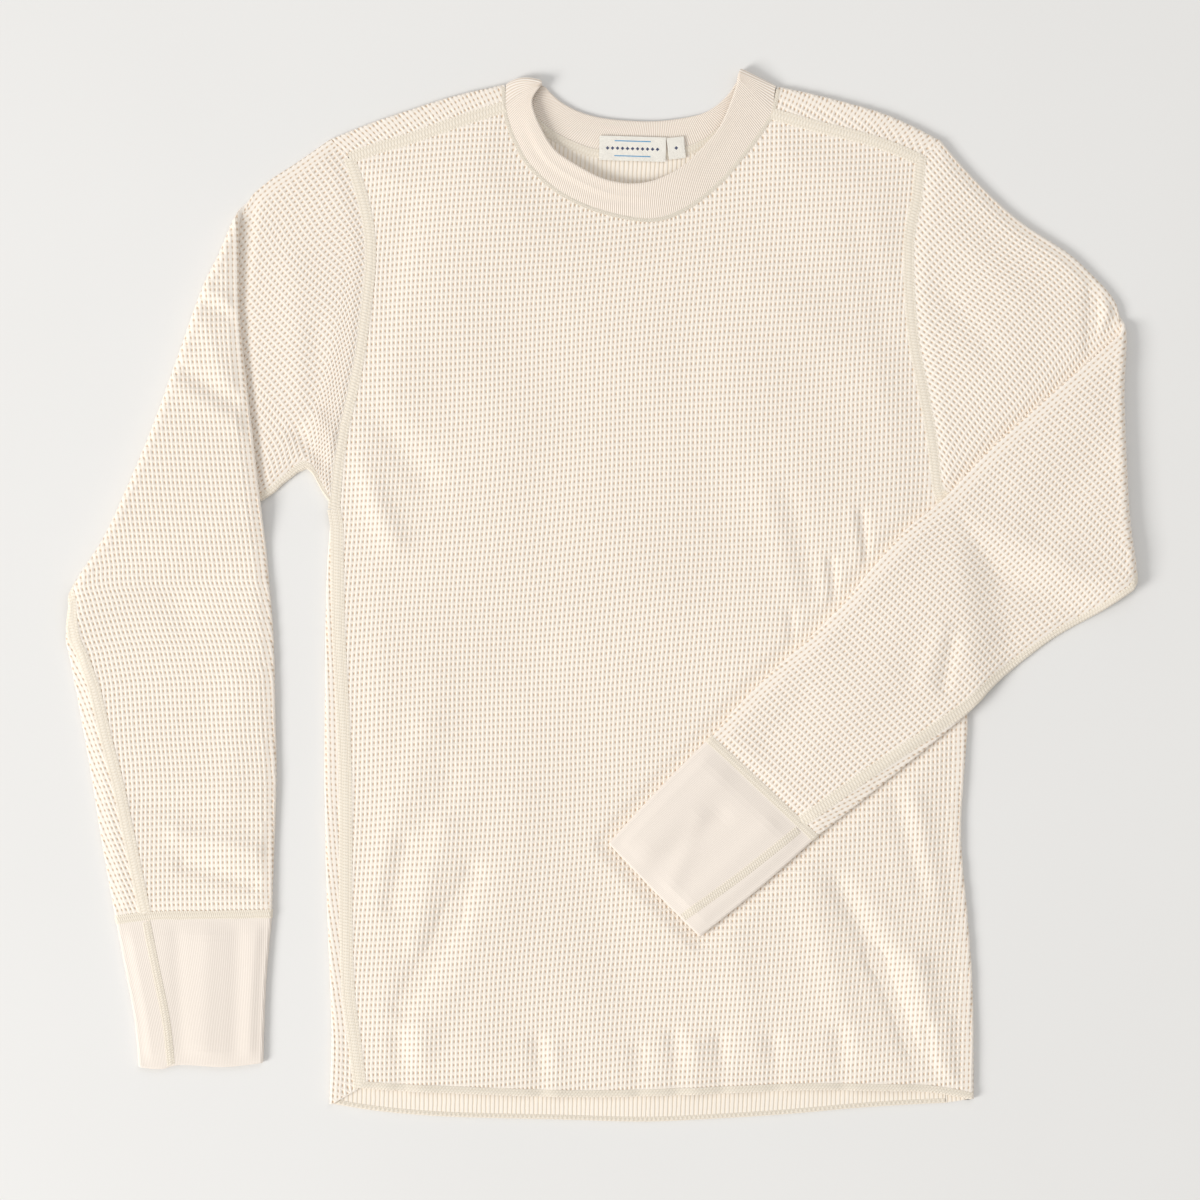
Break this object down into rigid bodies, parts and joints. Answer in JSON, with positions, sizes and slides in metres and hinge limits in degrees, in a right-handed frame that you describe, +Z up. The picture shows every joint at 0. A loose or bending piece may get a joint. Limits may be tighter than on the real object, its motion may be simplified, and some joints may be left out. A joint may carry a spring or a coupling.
{
  "type": "thermal base layer top",
  "caption": "Long-sleeve crew-neck thermal top in cream waffle knit, laid flat and face up with both sleeves folded forward.",
  "frame": {"origin": "middle of the garment's outline, on the surface it lies on", "axes": "+X to the viewer's right (the wearer's left), +Y towards the neck, +Z up from the surface"},
  "size_m": [0.7718, 0.7589, 0.0098],
  "materials": {
    "waffle_knit": "matte cotton waffle knit, undyed cream",
    "rib_knit": "matte fine cotton rib, undyed cream",
    "seam_thread": "flat-lock and overlock thread, yellowish cream",
    "woven_label": "smooth woven label, off-white"
  },
  "bodies": {
    "root": {"front": "waffle_knit", "back": "waffle_knit", "sleeve_right": "waffle_knit", "sleeve_left": "waffle_knit", "cuff_right": "rib_knit", "cuff_left": "rib_knit", "neck_rib": "rib_knit", "neck_label": "woven_label", "size_tab": "woven_label"}
  },
  "joints": []
}
